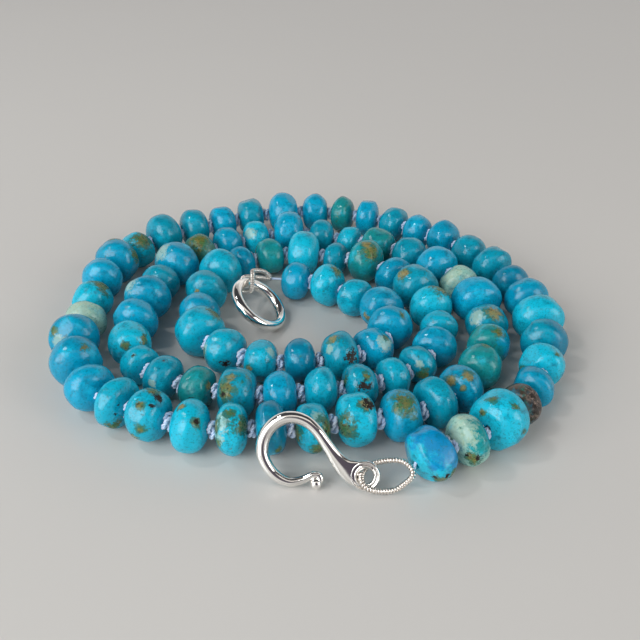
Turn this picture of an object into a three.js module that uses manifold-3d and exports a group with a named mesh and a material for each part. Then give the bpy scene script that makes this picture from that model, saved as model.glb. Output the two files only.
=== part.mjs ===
// A hand-knotted turquoise bead necklace, unfastened and lying on a flat surface in an inward spiral.
// Millimetres, +Z up. The hook end is at the front on the right, the ring end is inside the spiral.
import * as THREE from "three";
import { mergeVertices } from "three/addons/utils/BufferGeometryUtils.js";
import Module from "manifold-3d";

const wasm = await Module();
wasm.setup();

// Spiral route of the thread: distance from the spiral's centre at every ROUTE_STEP degrees of turn,
// one line for each third of a turn and counter-clockwise from ROUTE_START.
const ROUTE_START = -90;
const ROUTE_STEP = 30;
const ROUTE_RADII = [
  [45.5, 46.3, 44.5, 41.6],
  [39.4, 39.8, 41.0, 41.2],
  [43.4, 41.6, 44.0, 41.0],
  [36.2, 36.8, 35.0, 31.9],
  [29.3, 28.6, 29.2, 30.8],
  [31.3, 31.0, 34.6, 31.2],
  [27.2, 26.9, 26.0, 22.4],
  [20.6, 19.8, 20.0, 22.0],
  [21.3, 20.2, 22.1, 20.8],
  [18.6, 18.7, 16.9, 12.4],
  [7.8, 7.8, 9.0, 10.3],
].flat();
const FIRST_BEAD_TURN = -67;

// Rondelle sizes: diameter across the thread and length along it.
const SIZES = {
  s: { diameter: 6.9, length: 5.0 },
  m: { diameter: 7.6, length: 5.8 },
  l: { diameter: 8.3, length: 6.3 },
  x: { diameter: 9.0, length: 7.0 },
  w: { diameter: 8.2, length: 5.1 },
  n: { diameter: 7.6, length: 7.0 },
};
// Stone colours: blue, teal, cyan, green with olive, pale, brown host rock.
const STONES = {
  b: 0x1287b4,
  t: 0x1b8f96,
  c: 0x2fb0bf,
  g: 0x3f8f7c,
  p: 0xa7c6b2,
  k: 0x5b4a3d,
};
// Where a bead sits across the route: pushed in, on the line, pushed out.
const SIDES = { i: -1, "=": 0, o: 1 };
const SIDE_PUSH = 0.5;

// The stringing chart from the hook to the ring: size, side and stone of each bead.
const CHART = [
  "l=b w=p x=g s=k s=b m=b l=t x=b l=t m=t l=b n=b l=b mit mob w=b mit lob xib lot m=b l=b x=b m=b",
  "x=t l=b n=b mip x=b x=c lot w=t l=g l=c w=t w=t m=c lig l=b w=t m=b n=b m=b n=t x=b m=b x=b n=b",
  "n=b s=c m=b xob m=b m=g mob x=b m=b x=t l=b n=t s=b m=t m=g l=t m=t m=b m=t s=b s=g m=b s=t l=b",
  "x=t m=b x=b s=b x=b m=t sot x=t l=b n=t x=c l=t m=b m=t l=k m=b l=t l=b m=b l=b m=b",
]
  .join(" ")
  .split(" ")
  .map(([size, side, stone]) => ({
    ...SIZES[size],
    push: SIDES[side] * SIDE_PUSH,
    stone,
  }));

const BEAD_GAP = 0.8; // between the mouths of two neighbours
const SINGLE_BEADS = 40; // the beads that are solids of their own; the rest are joined in strands
const BEADS_PER_STRAND = 8;
const BEAD_SIDES = 10;
const STRAND_SIDES = 8;
const MOUTH_RADIUS = 1.25; // the drilled hole narrows from its mouths to its waist
const WAIST_RADIUS = 0.65;
const MOUTH_DEPTH = 1.0; // how far in from the mouth the thread runs straight along the hole
// Half outline of a rondelle, as shares of its half length and of its radius.
const OUTLINE = [
  { along: 0.86, out: 0.66 },
  { along: 0.38, out: 1.0 },
];

const THREAD_RADIUS = 0.25;
const THREAD_SIDES = 6;
const KNOT_RADIUS = 0.65;
const KNOT_REACH = 0.5; // from the knot's middle to where the plain thread starts
const NECK_RADIUS = 0.75; // knots of the joined strands

const BULLION_RADIUS = 0.45; // the fine coiled wire round the thread at both ends
const BULLION_SIDES = 6;
const BULLION_STEPS = 36;

// The hook lies in its own plane: x along its foot, y up the lean, z towards the front.
const HOOK_PLACE = { x: 1.4, y: -45.4, z: 0.95 };
const HOOK_TURN = -4.5;
const HOOK_LEAN = 61;
const HOOK_SIDES = 10;
const STEPS_PER_ROW = 2; // sections of the bar for each row of its table
const BALL_RADIUS = 0.88;
const BALL_SIDES = 12;
const BALL_BANDS = 8;
const EYE = { x: 7.05, y: 1.5, ring: 1.7, wire: 0.5 };
const EYE_STEPS = 20;
// Middle line of the hook's bar from the ball to the eye, with half its width in its plane
// and half its depth.
const HOOK_BAR = [
  { x: 0.1, y: 0.1, width: 0.5, depth: 0.5 },
  { x: 0.6, y: 0.6, width: 0.52, depth: 0.52 },
  { x: 0.3, y: 1.2, width: 0.52, depth: 0.52 },
  { x: -0.55, y: 1.15, width: 0.54, depth: 0.54 },
  { x: -2.0, y: 0.4, width: 0.6, depth: 0.6 },
  { x: -3.8, y: 0.0, width: 0.68, depth: 0.68 },
  { x: -5.6, y: 0.65, width: 0.78, depth: 0.78 },
  { x: -7.1, y: 2.1, width: 0.88, depth: 0.88 },
  { x: -7.95, y: 4.0, width: 0.94, depth: 0.94 },
  { x: -7.85, y: 6.1, width: 0.95, depth: 0.95 },
  { x: -6.8, y: 8.0, width: 0.95, depth: 0.95 },
  { x: -5.1, y: 9.2, width: 0.94, depth: 0.94 },
  { x: -3.3, y: 9.45, width: 0.9, depth: 0.9 },
  { x: -1.6, y: 8.9, width: 0.85, depth: 0.85 },
  { x: -0.1, y: 7.65, width: 0.82, depth: 0.8 },
  { x: 1.2, y: 5.95, width: 0.86, depth: 0.74 },
  { x: 2.5, y: 4.2, width: 1.0, depth: 0.66 },
  { x: 3.95, y: 2.6, width: 1.35, depth: 0.54 },
  { x: 5.5, y: 1.5, width: 1.65, depth: 0.4 },
];
// Middle line of the bullion loop through the hook's eye, in the hook's own directions.
const HOOK_LOOP = [
  { x: 6.55, y: 1.5, z: 0.0 },
  { x: 6.7, y: 0.7, z: 0.9 },
  { x: 7.6, y: -0.1, z: 1.15 },
  { x: 9.3, y: -0.5, z: 0.6 },
  { x: 11.4, y: -0.25, z: 0.3 },
  { x: 12.8, y: 0.7, z: 0.05 },
  { x: 13.9, y: 2.1, z: 0.2 },
  { x: 13.2, y: 3.4, z: 0.0 },
  { x: 11.8, y: 3.9, z: -0.4 },
  { x: 9.6, y: 3.6, z: -0.9 },
  { x: 7.9, y: 2.9, z: -1.3 },
  { x: 6.95, y: 2.2, z: -0.9 },
];
const HOOK_LOOP_TIP = 6; // the row of the table where the thread leaves the loop

// The ring leans: its low side rests on the surface, its high side hangs on the bullion loop.
const RING_PLACE = { x: -9.5, y: -0.4 };
const RING_TURN = -10;
const RING_LEAN = 39;
const RING_RADIUS = 5.1;
const RING_WIRE = 1.0;
const RING_STEPS = 24;
const WIRE_SIDES = 8; // of the ring's wire and of the eye's
// Middle line of the bullion loop round the ring's high side.
const RING_LOOP = [
  { x: -7.9, y: 10.0, z: 4.0 },
  { x: -9.1, y: 9.6, z: 5.7 },
  { x: -11.0, y: 7.0, z: 7.3 },
  { x: -10.8, y: 3.1, z: 8.25 },
  { x: -11.15, y: 1.85, z: 5.9 },
  { x: -13.1, y: 3.4, z: 5.1 },
  { x: -13.0, y: 7.4, z: 5.6 },
  { x: -10.3, y: 9.8, z: 4.3 },
];
const RING_LOOP_TIP = 0;

const silver = new THREE.MeshStandardMaterial({
  color: 0xd9d9d6,
  roughness: 0.15,
  metalness: 1,
});
const bullion = new THREE.MeshStandardMaterial({
  color: 0xc9c8c4,
  roughness: 0.3,
  metalness: 1,
});
const silk = new THREE.MeshStandardMaterial({
  color: 0xa9a9cf,
  roughness: 0.6,
  metalness: 0,
});
const stones = Object.fromEntries(
  Object.entries(STONES).map(([stone, color]) => [
    stone,
    new THREE.MeshStandardMaterial({ color, roughness: 0.12, metalness: 0 }),
  ]),
);
const up = new THREE.Vector3(0, 0, 1);
const MERGE_WITHIN = 1e-4; // vertices nearer than this are one

// A point of the spiral at an angle of turn, with the radius carried smoothly through the table.
function routePoint(turn) {
  const place = (turn - ROUTE_START) / ROUTE_STEP;
  const i = Math.min(Math.floor(place), ROUTE_RADII.length - 2);
  const t = place - i;
  const radiusAt = (k) =>
    ROUTE_RADII[THREE.MathUtils.clamp(k, 0, ROUTE_RADII.length - 1)];
  const [a, b, c, d] = [i - 1, i, i + 1, i + 2].map(radiusAt);
  const radius =
    b +
    0.5 * t * (c - a + t * (2 * a - 5 * b + 4 * c - d + t * (3 * (b - c) + d - a)));
  const angle = THREE.MathUtils.degToRad(turn);
  return new THREE.Vector2(radius * Math.cos(angle), radius * Math.sin(angle));
}

// Walks the spiral in small steps and drops each bead where the thread's length says,
// then points it from the bead before it to the bead after it.
function placeBeads() {
  const turnStep = 0.5; // degrees
  const beads = [];
  let turn = FIRST_BEAD_TURN;
  let here = routePoint(turn);
  let walked = 0;
  let due = 0;
  CHART.forEach((bead, i) => {
    if (i > 0) due += (CHART[i - 1].length + bead.length) / 2 + BEAD_GAP;
    let next = routePoint(turn + turnStep);
    while (walked + here.distanceTo(next) < due) {
      walked += here.distanceTo(next);
      turn += turnStep;
      here = next;
      next = routePoint(turn + turnStep);
    }
    const share = (due - walked) / here.distanceTo(next);
    const spot = here.clone().lerp(next, share);
    const forward = next.clone().sub(here).normalize();
    const outward = new THREE.Vector2(forward.y, -forward.x);
    spot.addScaledVector(outward, bead.push);
    beads.push({ ...bead, centre: new THREE.Vector3(spot.x, spot.y, bead.diameter / 2) });
  });
  const hookEnd = hookFrame().localToWorld(pointOf(HOOK_LOOP[HOOK_LOOP_TIP]));
  const ringEnd = pointOf(RING_LOOP[RING_LOOP_TIP]);
  const stops = [hookEnd, ...beads.map((bead) => bead.centre), ringEnd];
  beads.forEach((bead, i) => {
    bead.axis = stops[i + 2].clone().sub(stops[i]);
    bead.axis.z = 0;
    bead.axis.normalize();
  });
  return beads;
}

function pointOf({ x, y, z = 0 }) {
  return new THREE.Vector3(x, y, z);
}

function hookFrame() {
  const frame = new THREE.Group();
  frame.position.copy(pointOf(HOOK_PLACE));
  frame.rotation.order = "ZXY";
  frame.rotation.x = THREE.MathUtils.degToRad(HOOK_LEAN);
  frame.rotation.z = THREE.MathUtils.degToRad(HOOK_TURN);
  frame.updateMatrixWorld(true);
  return frame;
}

function ringFrame() {
  const lean = THREE.MathUtils.degToRad(RING_LEAN);
  const frame = new THREE.Group();
  frame.position.set(RING_PLACE.x, RING_PLACE.y, RING_WIRE + RING_RADIUS * Math.sin(lean));
  frame.rotation.order = "ZYX";
  frame.rotation.y = lean;
  frame.rotation.z = THREE.MathUtils.degToRad(RING_TURN);
  return frame;
}

// A closed skin through flat polygon sections, each given by its centre, two directions and two half sizes.
function loft(sections, sides, isLoop = false) {
  const positions = [];
  const faces = [];
  const corner = (ring, side) => ring * sides + (side % sides);
  sections.forEach(({ centre, across, upward, width, depth }) => {
    for (let side = 0; side < sides; side++) {
      const angle = ((side + 0.5) * 2 * Math.PI) / sides;
      const point = centre
        .clone()
        .addScaledVector(across, width * Math.sin(angle))
        .addScaledVector(upward, depth * Math.cos(angle));
      positions.push(...point.toArray());
    }
  });
  const bands = isLoop ? sections.length : sections.length - 1;
  for (let ring = 0; ring < bands; ring++) {
    const next = (ring + 1) % sections.length;
    for (let side = 0; side < sides; side++) {
      const [a, b] = [corner(ring, side), corner(ring, side + 1)];
      const [c, d] = [corner(next, side), corner(next, side + 1)];
      faces.push(a, d, b, a, c, d);
    }
  }
  if (!isLoop) {
    const last = sections.length - 1;
    for (let side = 1; side < sides - 1; side++) {
      faces.push(corner(0, 0), corner(0, side), corner(0, side + 1));
      faces.push(corner(last, 0), corner(last, side + 1), corner(last, side));
    }
  }
  const geometry = new THREE.BufferGeometry();
  geometry.setAttribute("position", new THREE.Float32BufferAttribute(positions, 3));
  geometry.setIndex(faces);
  return geometry;
}

// A section square to the thread at a point of a bead's axis.
function beadSection(bead, along, radius) {
  return {
    centre: bead.centre.clone().addScaledVector(bead.axis, along),
    across: up.clone().cross(bead.axis),
    upward: up,
    width: radius,
    depth: radius,
  };
}

// Stops along a bead from mouth to mouth, each with the radius of its corners.
// The polygon's flat sides touch the round bead, so its corners lie a little outside it.
function outlineStops(bead, mouth, sides) {
  const half = bead.length / 2;
  const outer = bead.diameter / 2 / Math.cos(Math.PI / sides);
  const rear = OUTLINE.map(({ along, out }) => [-along * half, out * outer]);
  const front = OUTLINE.map(({ along, out }) => [along * half, out * outer]).reverse();
  return [[-half, mouth], ...rear, ...front, [half, mouth]];
}

// One rondelle turned round its thread, with a hole drilled from both sides.
function makeBead(bead, name) {
  const wall = [...outlineStops(bead, MOUTH_RADIUS, BEAD_SIDES), [0, WAIST_RADIUS]].map(
    ([along, radius]) => new THREE.Vector2(radius, along),
  );
  wall.push(wall[0].clone());
  const facet = (2 * Math.PI) / BEAD_SIDES;
  const geometry = new THREE.LatheGeometry(wall, BEAD_SIDES, -facet / 2);
  const mesh = new THREE.Mesh(geometry, stones[bead.stone]);
  mesh.name = name;
  mesh.position.copy(bead.centre);
  const across = bead.axis.clone().cross(up);
  mesh.setRotationFromMatrix(new THREE.Matrix4().makeBasis(across, bead.axis, up));
  return mesh;
}

// The knot in the middle of the gap between two beads, with plain thread on both sides of it.
function knotSections(before, after) {
  const from = before.centre.clone().addScaledVector(before.axis, before.length / 2);
  const to = after.centre.clone().addScaledVector(after.axis, -after.length / 2);
  const axis = before.axis.clone().add(after.axis).normalize();
  const knot = { centre: from.lerp(to, 0.5), axis };
  return [
    beadSection(knot, -KNOT_REACH, THREAD_RADIUS),
    beadSection(knot, 0, KNOT_RADIUS),
    beadSection(knot, KNOT_REACH, THREAD_RADIUS),
  ];
}

// The silk through the single beads, with a knot after each of them.
function makeThread(beads) {
  const sections = [beadSection(beads[0], -beads[0].length / 2, THREAD_RADIUS)];
  beads.forEach((bead, i) => {
    const straight = bead.length / 2 - MOUTH_DEPTH;
    sections.push(beadSection(bead, -straight, THREAD_RADIUS));
    sections.push(beadSection(bead, straight, THREAD_RADIUS));
    if (i < beads.length - 1) sections.push(...knotSections(bead, beads[i + 1]));
  });
  const last = beads[beads.length - 1];
  sections.push(beadSection(last, last.length / 2, THREAD_RADIUS));
  const mesh = new THREE.Mesh(loft(sections, THREAD_SIDES), silk);
  mesh.name = "silk_thread";
  return mesh;
}

// Several beads joined along their thread in one solid that shows each of them.
function makeStrand(beads, name) {
  const sections = beads.flatMap((bead) =>
    outlineStops(bead, NECK_RADIUS, STRAND_SIDES).map(([along, radius]) =>
      beadSection(bead, along, radius),
    ),
  );
  const mesh = new THREE.Mesh(loft(sections, STRAND_SIDES), stones.b);
  mesh.name = name;
  return mesh;
}

function solidOf(geometry) {
  geometry.deleteAttribute("normal");
  geometry.deleteAttribute("uv");
  const merged = mergeVertices(geometry, MERGE_WITHIN);
  return new wasm.Manifold(
    new wasm.Mesh({
      numProp: 3,
      vertProperties: merged.attributes.position.array,
      triVerts: new Uint32Array(merged.index.array),
    }),
  );
}

function geometryOf(solid) {
  const { vertProperties, triVerts } = solid.getMesh();
  const geometry = new THREE.BufferGeometry();
  geometry.setAttribute("position", new THREE.BufferAttribute(vertProperties, 3));
  geometry.setIndex(new THREE.BufferAttribute(triVerts, 1));
  return geometry;
}

// The hook: a bar that swells and flattens along its bend, a ball on its tip and a round eye,
// soldered in one.
function makeHook() {
  const spline = new THREE.CatmullRomCurve3(HOOK_BAR.map(pointOf));
  const steps = (HOOK_BAR.length - 1) * STEPS_PER_ROW;
  const sections = [];
  for (let step = 0; step <= steps; step++) {
    const place = step / STEPS_PER_ROW;
    const row = Math.min(Math.floor(place), HOOK_BAR.length - 2);
    const size = (key) =>
      THREE.MathUtils.lerp(HOOK_BAR[row][key], HOOK_BAR[row + 1][key], place - row);
    sections.push({
      centre: spline.getPoint(step / steps),
      across: up.clone().cross(spline.getTangent(step / steps)),
      upward: up,
      width: size("width"),
      depth: size("depth"),
    });
  }
  const ball = new THREE.SphereGeometry(BALL_RADIUS, BALL_SIDES, BALL_BANDS);
  const eye = new THREE.TorusGeometry(EYE.ring, EYE.wire, WIRE_SIDES, EYE_STEPS);
  eye.translate(EYE.x, EYE.y, 0);
  const bar = loft(sections, HOOK_SIDES);
  const solid = solidOf(bar).add(solidOf(ball)).add(solidOf(eye));
  const mesh = new THREE.Mesh(geometryOf(solid), silver);
  mesh.name = "hook";
  return mesh;
}

function makeRing() {
  const ring = new THREE.TorusGeometry(RING_RADIUS, RING_WIRE, WIRE_SIDES, RING_STEPS);
  const mesh = new THREE.Mesh(geometryOf(solidOf(ring)), silver);
  mesh.name = "ring";
  return mesh;
}

// A closed loop of the fine coiled wire, shown as a plain round bar along its middle line.
function makeLoop(rows, name) {
  const line = new THREE.CatmullRomCurve3(rows.map(pointOf), true);
  const frames = line.computeFrenetFrames(BULLION_STEPS, true);
  const sections = [];
  for (let step = 0; step < BULLION_STEPS; step++) {
    sections.push({
      centre: line.getPointAt(step / BULLION_STEPS),
      across: frames.normals[step],
      upward: frames.binormals[step],
      width: BULLION_RADIUS,
      depth: BULLION_RADIUS,
    });
  }
  const mesh = new THREE.Mesh(loft(sections, BULLION_SIDES, true), bullion);
  mesh.name = name;
  return mesh;
}

const necklace = new THREE.Group();
const beads = placeBeads();
const singles = beads.slice(0, SINGLE_BEADS);
singles.forEach((bead, i) =>
  necklace.add(makeBead(bead, "bead_" + String(i + 1).padStart(2, "0"))),
);
necklace.add(makeThread(singles));
for (let first = SINGLE_BEADS; first < beads.length; first += BEADS_PER_STRAND) {
  const number = (first - SINGLE_BEADS) / BEADS_PER_STRAND + 1;
  necklace.add(makeStrand(beads.slice(first, first + BEADS_PER_STRAND), "bead_strand_" + number));
}
const hookGroup = hookFrame();
hookGroup.add(makeHook(), makeLoop(HOOK_LOOP, "hook_loop"));
const ringGroup = ringFrame();
ringGroup.add(makeRing());
necklace.add(hookGroup, ringGroup, makeLoop(RING_LOOP, "ring_loop"));

// The origin is under the middle of the whole necklace, on the surface that it lies on.
const box = new THREE.Box3().setFromObject(necklace, true);
const centre = box.getCenter(new THREE.Vector3());
necklace.position.set(-centre.x, -centre.y, -box.min.z);

export default necklace;
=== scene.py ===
import math

import bpy
import numpy as np
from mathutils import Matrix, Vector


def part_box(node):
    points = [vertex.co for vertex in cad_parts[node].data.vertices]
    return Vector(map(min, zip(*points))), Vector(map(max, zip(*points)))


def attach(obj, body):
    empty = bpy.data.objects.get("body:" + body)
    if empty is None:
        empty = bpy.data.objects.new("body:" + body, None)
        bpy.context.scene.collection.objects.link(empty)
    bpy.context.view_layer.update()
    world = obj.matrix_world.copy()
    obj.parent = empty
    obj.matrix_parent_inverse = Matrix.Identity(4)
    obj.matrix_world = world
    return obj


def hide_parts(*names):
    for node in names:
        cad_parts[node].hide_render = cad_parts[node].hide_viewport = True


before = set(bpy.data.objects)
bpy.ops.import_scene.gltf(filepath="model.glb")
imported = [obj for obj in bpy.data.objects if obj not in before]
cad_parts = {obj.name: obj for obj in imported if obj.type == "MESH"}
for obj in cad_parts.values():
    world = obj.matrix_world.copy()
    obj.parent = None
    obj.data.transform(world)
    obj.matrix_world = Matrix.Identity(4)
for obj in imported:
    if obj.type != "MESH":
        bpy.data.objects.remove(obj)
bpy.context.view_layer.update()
print("frame loaded:", len(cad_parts), "nodes")

mm = 0.001  # the tables below are in millimetres, the meshes in metres
upward = np.array([0.0, 0.0, 1.0])

# the camera in millimetres and degrees, looking along +y and down
view = dict(place=(1.65, -132.49, 83.73), tilt=58.0, lens=46.07, sensor=36.0, near=0.005)


def placeCamera():
    data = bpy.data.cameras.new("camera")
    data.lens = view["lens"]
    data.sensor_width = view["sensor"]
    data.clip_start = view["near"]
    camera = bpy.data.objects.new("camera", data)
    camera.location = [mm * value for value in view["place"]]
    camera.rotation_euler = (math.radians(view["tilt"]), 0, 0)
    bpy.context.scene.collection.objects.link(camera)
    bpy.context.scene.camera = camera


def fullTurn(count):
    # Angles evenly round a circle: k · 2π / count.
    return np.arange(count) * 2 * math.pi / count


def surface(points, closedRows=False, capped=False):
    # A skin over rows × columns points: each cell is a quad, and the columns always run round to the first
    # again. A cap is a fan of triangles from the mean point of an end row.
    rows, columns = points.shape[:2]
    lastRow = rows if closedRows else rows - 1
    row, column = np.meshgrid(np.arange(lastRow), np.arange(columns), indexing="ij")
    nextRow, nextColumn = (row + 1) % rows, (column + 1) % columns
    quads = np.stack([row * columns + column, row * columns + nextColumn,
                      nextRow * columns + nextColumn, nextRow * columns + column], -1).reshape(-1, 4)
    vertices = points.reshape(-1, 3)
    fans = np.empty((0, 3), int)
    if capped:
        edge = np.arange(columns)
        over = (edge + 1) % columns
        last = (rows - 1) * columns
        pole = np.full(columns, rows * columns)
        fans = np.vstack([np.stack([over, edge, pole], -1),
                          np.stack([last + edge, last + over, pole + 1], -1)])
        vertices = np.vstack([vertices, points[0].mean(0), points[-1].mean(0)])
    return vertices, quads, fans


def facingOut(skin):
    # The volume is a sixth of the sum of a · (b × c) over the triangles. If it is negative, every face is
    # turned round.
    vertices, quads, fans = skin
    triangles = np.vstack([quads[:, [0, 1, 2]], quads[:, [0, 2, 3]], fans])
    a, b, c = (vertices[triangles[:, k]] for k in range(3))
    if np.einsum("ij,ij->i", a, np.cross(b, c)).sum() < 0:
        return vertices, quads[:, ::-1], fans[:, ::-1]
    return skin


# kind of attribute and its data field, by the number of values at each vertex
attributeKinds = {1: ("FLOAT", "value"), 3: ("FLOAT_VECTOR", "vector"), 4: ("FLOAT_COLOR", "color")}


def makePiece(name, skins, material, slotName, nodes=(), **attributes):
    start, vertices, faces = 0, [], []
    for skin in map(facingOut, skins):
        vertices.append(skin[0])
        faces += (skin[1] + start).tolist() + (skin[2] + start).tolist()
        start += len(skin[0])
    mesh = bpy.data.meshes.new(name)
    mesh.from_pydata((np.vstack(vertices) * mm).tolist(), [], faces)
    mesh.shade_smooth()
    for key, values in attributes.items():
        values = values.reshape(len(values), -1)
        kind, field = attributeKinds[values.shape[1]]
        attribute = mesh.attributes.new(key, kind, "POINT")
        attribute.data.foreach_set(field, values.astype(np.float32).ravel())
    mesh.materials.append(material)
    piece = bpy.data.objects.new(name, mesh)
    bpy.context.scene.collection.objects.link(piece)
    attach(piece, "root")
    if nodes:
        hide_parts(*nodes)
    return piece


def curveAt(table, place, closed=False):
    # Uniform Catmull-Rom. Between rows b and c, with a before and d after them and t the way from b to c:
    # b + t / 2 · (c - a + t · (2a - 5b + 4c - d + t · (3 · (b - c) + d - a))).
    count = len(table)
    i = np.minimum(place.astype(int), count - 1 if closed else count - 2)
    t = (place - i)[:, None]
    rows = [(i + k) % count if closed else np.clip(i + k, 0, count - 1) for k in (-1, 0, 1, 2)]
    a, b, c, d = (table[row] for row in rows)
    return b + 0.5 * t * (c - a + t * (2 * a - 5 * b + 4 * c - d + t * (3 * (b - c) + d - a)))


def smoothRows(table, steps, closed=False):
    # The same curve at even steps of the row number, every column alike.
    table = np.array(table, float)
    spans = len(table) if closed else len(table) - 1
    place = np.arange(steps) * spans / (steps if closed else steps - 1)
    return curveAt(table, place, closed)


def unit(vectors):
    return vectors / np.linalg.norm(vectors, axis=-1, keepdims=True)


def squareTo(tangents, vectors):
    # What is left of each vector when its part along the tangent is taken away, at unit length.
    return unit(vectors - tangents * np.einsum("ij,ij->i", vectors, tangents)[:, None])


def alongLine(line, closed):
    # Unit tangents, from the point before to the point after.
    if closed:
        return unit(np.roll(line, -1, 0) - np.roll(line, 1, 0))
    return unit(np.gradient(line, axis=0))


def walkedAlong(line):
    # Length from the line's first point to each point.
    return np.concatenate([[0], np.cumsum(np.linalg.norm(np.diff(line, axis=0), axis=1))])


def turned(points, turnDegrees, axis):
    # Turns points about the x, y or z axis through the origin.
    angle = math.radians(turnDegrees)
    c, s = math.cos(angle), math.sin(angle)
    matrix = {"x": [[1, 0, 0], [0, c, -s], [0, s, c]], "y": [[c, 0, s], [0, 1, 0], [-s, 0, c]],
              "z": [[c, -s, 0], [s, c, 0], [0, 0, 1]]}[axis]
    return points @ np.array(matrix).T


# The string lies in a spiral, anticlockwise from above, with one radius for each step of degrees from start.
# The first bead is in the direction firstBead. Walk is the degrees of each short step along the line, gap the
# room for a knot between two beads, and push how far a bead is pushed in or out.
route = dict(
    start=-90.0, step=30.0, firstBead=-67.0, walk=0.5, gap=0.8, push=0.5,
    radii=[45.5, 46.3, 44.5, 41.6, 39.4, 39.8, 41.0, 41.2, 43.4, 41.6, 44.0, 41.0,
           36.2, 36.8, 35.0, 31.9, 29.3, 28.6, 29.2, 30.8, 31.3, 31.0, 34.6, 31.2,
           27.2, 26.9, 26.0, 22.4, 20.6, 19.8, 20.0, 22.0, 21.3, 20.2, 22.1, 20.8,
           18.6, 18.7, 16.9, 12.4, 7.8, 7.8, 9.0, 10.3],
)
# diameter across the thread and length along it: small, medium, large, extra large, wide and narrow
sizes = dict(s=(6.9, 5.0), m=(7.6, 5.8), l=(8.3, 6.3), x=(9.0, 7.0), w=(8.2, 5.1), n=(7.6, 7.0))
# size and side of each bead from the hook to the ring: i pushed in, = on the line, o pushed out
chart = (
    "l= w= x= s= s= m= l= x= l= m= l= n= l= mi mo w= w= lo xi lo m= l= x= m= "
    "x= l= n= mi x= x= lo w= l= l= w= w= m= li l= w= m= n= m= n= x= m= x= n= "
    "n= s= m= xo m= m= mo x= m= x= l= n= s= m= m= l= m= m= m= s= s= m= s= l= "
    "x= m= x= s= x= m= so x= l= n= x= l= m= m= l= m= l= l= m= l= m="
).split()
singleBeads = 40  # each a node of its own in the frame
beadsPerStrand = 8  # the beads after them are nodes of up to so many


def routePoints(turn):
    # The radius is the curve through the table, then x = radius · cos turn and y = radius · sin turn.
    radii = np.array(route["radii"])
    radius = curveAt(radii[:, None], (turn - route["start"]) / route["step"])[:, 0]
    return np.stack([radius * np.cos(np.radians(turn)), radius * np.sin(np.radians(turn))], -1)


def placeBeads():
    # Walks the spiral and drops each bead where the thread's length says: half of each neighbour and the
    # gap. A pushed bead then moves square to the line.
    diameter, length = np.array([sizes[code[0]] for code in chart]).T
    push = np.array([{"i": -1, "=": 0, "o": 1}[code[1]] for code in chart]) * route["push"]
    lastTurn = route["start"] + route["step"] * (len(route["radii"]) - 1)
    line = routePoints(np.arange(route["firstBead"], lastTurn, route["walk"]))
    pieces = np.diff(line, axis=0)
    walked = walkedAlong(line)
    due = np.concatenate([[0], np.cumsum((length[1:] + length[:-1]) / 2 + route["gap"])])
    at = np.clip(np.searchsorted(walked, due, "right") - 1, 0, len(pieces) - 1)
    forward = unit(pieces[at])
    spot = line[at] + forward * (due - walked[at])[:, None]
    spot += np.stack([forward[:, 1], -forward[:, 0]], -1) * push[:, None]
    return np.column_stack([spot, diameter / 2]), diameter, length


centres, diameters, lengths = placeBeads()
firstLow, firstHigh = (np.array(corner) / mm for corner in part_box("bead_01"))
shift = (firstLow + firstHigh) / 2 - centres[0]  # from the spiral's own centre to the part's origin
centres = centres + shift

hook = dict(
    place=(1.4, -45.4, 0.95), turn=-4.5, lean=61, steps=170, sides=48,
    ball=0.88, ballRows=22, ballSides=32, ballPole=0.12,
    eye=(7.05, 1.5), eyeRing=1.7, eyeWire=0.52, eyeAround=72, eyeSides=28,
    groove=0.75, grooveWidth=0.17, wrapFrom=4.2, spread=0.5,
    # middle line from the ball to the eye, half width in the hook's plane and half depth
    bar=[(0.1, 0.1, 0.5, 0.5), (0.6, 0.6, 0.52, 0.52), (0.3, 1.2, 0.52, 0.52), (-0.55, 1.15, 0.54, 0.54),
         (-2.0, 0.4, 0.6, 0.6), (-3.8, 0.0, 0.68, 0.68), (-5.6, 0.65, 0.78, 0.78), (-7.1, 2.1, 0.88, 0.88),
         (-7.95, 4.0, 0.94, 0.94), (-7.85, 6.1, 0.95, 0.95), (-6.8, 8.0, 0.95, 0.95), (-5.1, 9.2, 0.94, 0.94),
         (-3.3, 9.45, 0.9, 0.9), (-1.6, 8.9, 0.85, 0.85), (-0.1, 7.65, 0.82, 0.8), (1.2, 5.95, 0.86, 0.74),
         (2.5, 4.2, 1.0, 0.66), (3.95, 2.6, 1.35, 0.54), (5.5, 1.5, 1.7, 0.34)],
)
# middle line of the coiled loop in the hook's own frame, and the row of it where the thread starts
hookLoop = [(6.55, 1.5, 0), (6.7, 0.7, 0.9), (7.6, -0.1, 1.15), (9.3, -0.5, 0.6), (11.4, -0.25, 0.3),
            (12.8, 0.7, 0.05), (13.9, 2.1, 0.2), (13.2, 3.4, 0), (11.8, 3.9, -0.4), (9.6, 3.6, -0.9),
            (7.9, 2.9, -1.3), (6.95, 2.2, -0.9)]
hookLoopTip = 6
ring = dict(place=(-9.5, -0.4), turn=-10, lean=39, radius=5.1, wire=1.0, around=120, sides=28)
# the same for the ring's loop, from the spiral's centre
ringLoop = [(-7.9, 10, 4), (-9.1, 9.6, 5.7), (-11, 7, 7.3), (-10.8, 3.1, 8.25), (-11.15, 1.85, 5.9),
            (-13.1, 3.4, 5.1), (-13, 7.4, 5.6), (-10.3, 9.8, 4.3)]
ringLoopTip = 0


def fromHookFrame(points):
    # The flat hook leans about its long axis, turns on the table and moves to its place.
    return turned(turned(points, hook["lean"], "x"), hook["turn"], "z") + np.array(hook["place"]) + shift


def fromRingFrame(points):
    # The flat ring leans about y, turns and rests on its lowest point: height = wire + radius · sin lean.
    height = ring["wire"] + ring["radius"] * math.sin(math.radians(ring["lean"]))
    leant = turned(turned(points, ring["lean"], "y"), ring["turn"], "z")
    return leant + np.array([*ring["place"], height]) + shift


hookLoopLine = fromHookFrame(np.array(hookLoop, float))
ringLoopLine = np.array(ringLoop, float) + shift
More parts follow.
